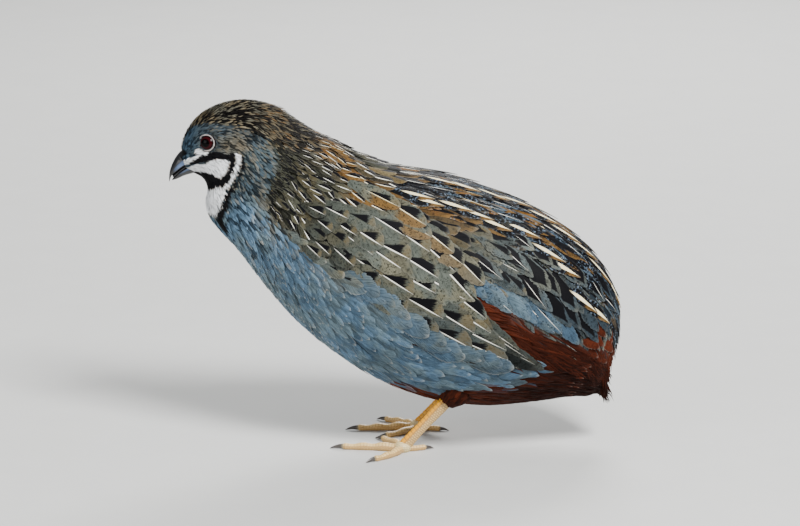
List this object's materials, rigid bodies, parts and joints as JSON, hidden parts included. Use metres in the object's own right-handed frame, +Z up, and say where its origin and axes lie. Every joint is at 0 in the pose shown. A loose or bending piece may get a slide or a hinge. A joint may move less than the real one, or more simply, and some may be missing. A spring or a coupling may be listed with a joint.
{
  "type": "male king quail, standing, still museum model",
  "caption": "Life-size still model of a standing male king quail: a round, short-tailed ground bird with folded wings, a short hooked bill and bare yellow legs.",
  "frame": {"origin": "on the floor under the middle of the bird's box, seen from above", "axes": "the bird faces -X, its left side faces -Y and +Z is up"},
  "size_m": [0.12, 0.0494, 0.0927],
  "materials": {
    "head_feathers": "soft short feathers, dark brown crown over a slate-blue face",
    "body_feathers": "silky slate-blue breast feathers, olive-brown back with pale shafts",
    "wing_feathers": "olive-brown vanes with white shafts and black blotches",
    "tail_feathers": "soft chestnut feathers",
    "bill_horn": "dark horn with a slight gloss",
    "eye": "wet, dark red iris with a black pupil",
    "leg_scales": "scaled yellow skin with a soft gloss",
    "claw_horn": "dark grey horn"
  },
  "bodies": {
    "root": {"head": "head_feathers", "bill_upper": "bill_horn", "bill_lower": "bill_horn", "eye_left": "eye", "eye_right": "eye", "neck": "body_feathers", "torso": "body_feathers", "wing_left": "wing_feathers", "wing_right": "wing_feathers", "tail": "tail_feathers", "thigh_left": "tail_feathers", "thigh_right": "tail_feathers", "shank_left": "leg_scales", "shank_right": "leg_scales", "toe_left_middle": "leg_scales", "toe_left_outer": "leg_scales", "toe_left_inner": "leg_scales", "toe_left_hallux": "leg_scales", "toe_right_middle": "leg_scales", "toe_right_outer": "leg_scales", "toe_right_inner": "leg_scales", "toe_right_hallux": "leg_scales", "claw_left_middle": "claw_horn", "claw_left_outer": "claw_horn", "claw_left_inner": "claw_horn", "claw_left_hallux": "claw_horn", "claw_right_middle": "claw_horn", "claw_right_outer": "claw_horn", "claw_right_inner": "claw_horn", "claw_right_hallux": "claw_horn"}
  },
  "joints": []
}
